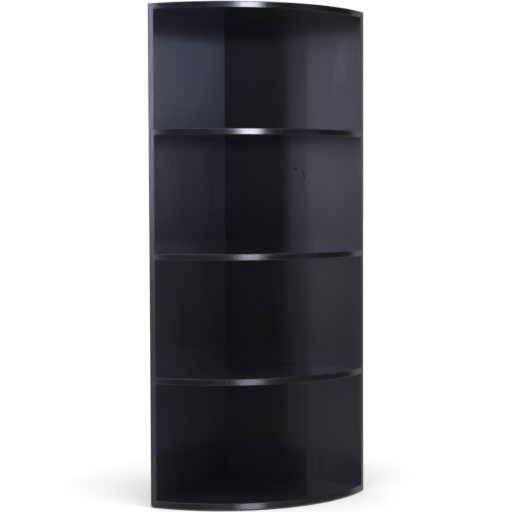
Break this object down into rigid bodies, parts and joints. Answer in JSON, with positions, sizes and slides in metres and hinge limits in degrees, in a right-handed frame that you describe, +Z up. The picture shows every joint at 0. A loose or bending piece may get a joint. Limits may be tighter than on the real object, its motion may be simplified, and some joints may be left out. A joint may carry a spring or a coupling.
{
  "type": "corner shelf unit",
  "caption": "Tall freestanding corner shelf unit: two plain side panels meeting in the corner, with quarter-round shelves between them and open fronts.",
  "frame": {"origin": "centre of the square footprint, on the floor under the glides", "axes": "+Z up along the height; the left panel's face to the wall looks along -X and the right panel's face to the wall along +Y, so the wall corner is at -X +Y and the shelves open towards +X and -Y"},
  "size_m": [0.395, 0.395, 1.203],
  "materials": {
    "panel_board": "black woodgrain melamine, satin",
    "shelf_board": "black woodgrain melamine, satin",
    "edge_band": "black woodgrain edge banding, soft sheen",
    "screw_steel": "zinc plated",
    "dowel_wood": "plain beech, fluted",
    "glide_plastic": "black moulded plastic"
  },
  "bodies": {
    "root": {"left_panel": "panel_board", "right_panel": "panel_board", "top_shelf": "shelf_board", "shelf_2": "shelf_board", "shelf_3": "shelf_board", "shelf_4": "shelf_board", "bottom_shelf": "shelf_board", "top_shelf_front_band": "edge_band", "shelf_2_front_band": "edge_band", "shelf_3_front_band": "edge_band", "shelf_4_front_band": "edge_band", "bottom_shelf_front_band": "edge_band", "left_panel_front_band": "edge_band", "right_panel_front_band": "edge_band", "left_panel_top_band": "edge_band", "right_panel_top_band": "edge_band", "left_panel_rear_band": "edge_band", "top_shelf_left_screw_rear": "screw_steel", "top_shelf_left_screw_front": "screw_steel", "top_shelf_right_screw_rear": "screw_steel", "top_shelf_right_screw_front": "screw_steel", "shelf_2_left_screw_rear": "screw_steel", "shelf_2_left_screw_front": "screw_steel", "shelf_2_right_screw_rear": "screw_steel", "shelf_2_right_screw_front": "screw_steel", "shelf_3_left_screw_rear": "screw_steel", "shelf_3_left_screw_front": "screw_steel", "shelf_3_right_screw_rear": "screw_steel", "shelf_3_right_screw_front": "screw_steel", "shelf_4_left_screw_rear": "screw_steel", "shelf_4_left_screw_front": "screw_steel", "shelf_4_right_screw_rear": "screw_steel", "shelf_4_right_screw_front": "screw_steel", "bottom_shelf_left_screw_rear": "screw_steel", "bottom_shelf_left_screw_front": "screw_steel", "bottom_shelf_right_screw_rear": "screw_steel", "bottom_shelf_right_screw_front": "screw_steel", "corner_screw_1": "screw_steel", "corner_screw_2": "screw_steel", "corner_screw_3": "screw_steel", "corner_screw_4": "screw_steel", "top_shelf_left_dowel": "dowel_wood", "top_shelf_right_dowel": "dowel_wood", "shelf_2_left_dowel": "dowel_wood", "shelf_2_right_dowel": "dowel_wood", "shelf_3_left_dowel": "dowel_wood", "shelf_3_right_dowel": "dowel_wood", "shelf_4_left_dowel": "dowel_wood", "shelf_4_right_dowel": "dowel_wood", "bottom_shelf_left_dowel": "dowel_wood", "bottom_shelf_right_dowel": "dowel_wood", "corner_dowel_1": "dowel_wood", "corner_dowel_2": "dowel_wood", "corner_dowel_3": "dowel_wood", "left_panel_glide_front": "glide_plastic", "left_panel_glide_rear": "glide_plastic", "right_panel_glide_rear": "glide_plastic", "right_panel_glide_front": "glide_plastic", "bottom_shelf_glide": "glide_plastic"}
  },
  "joints": []
}
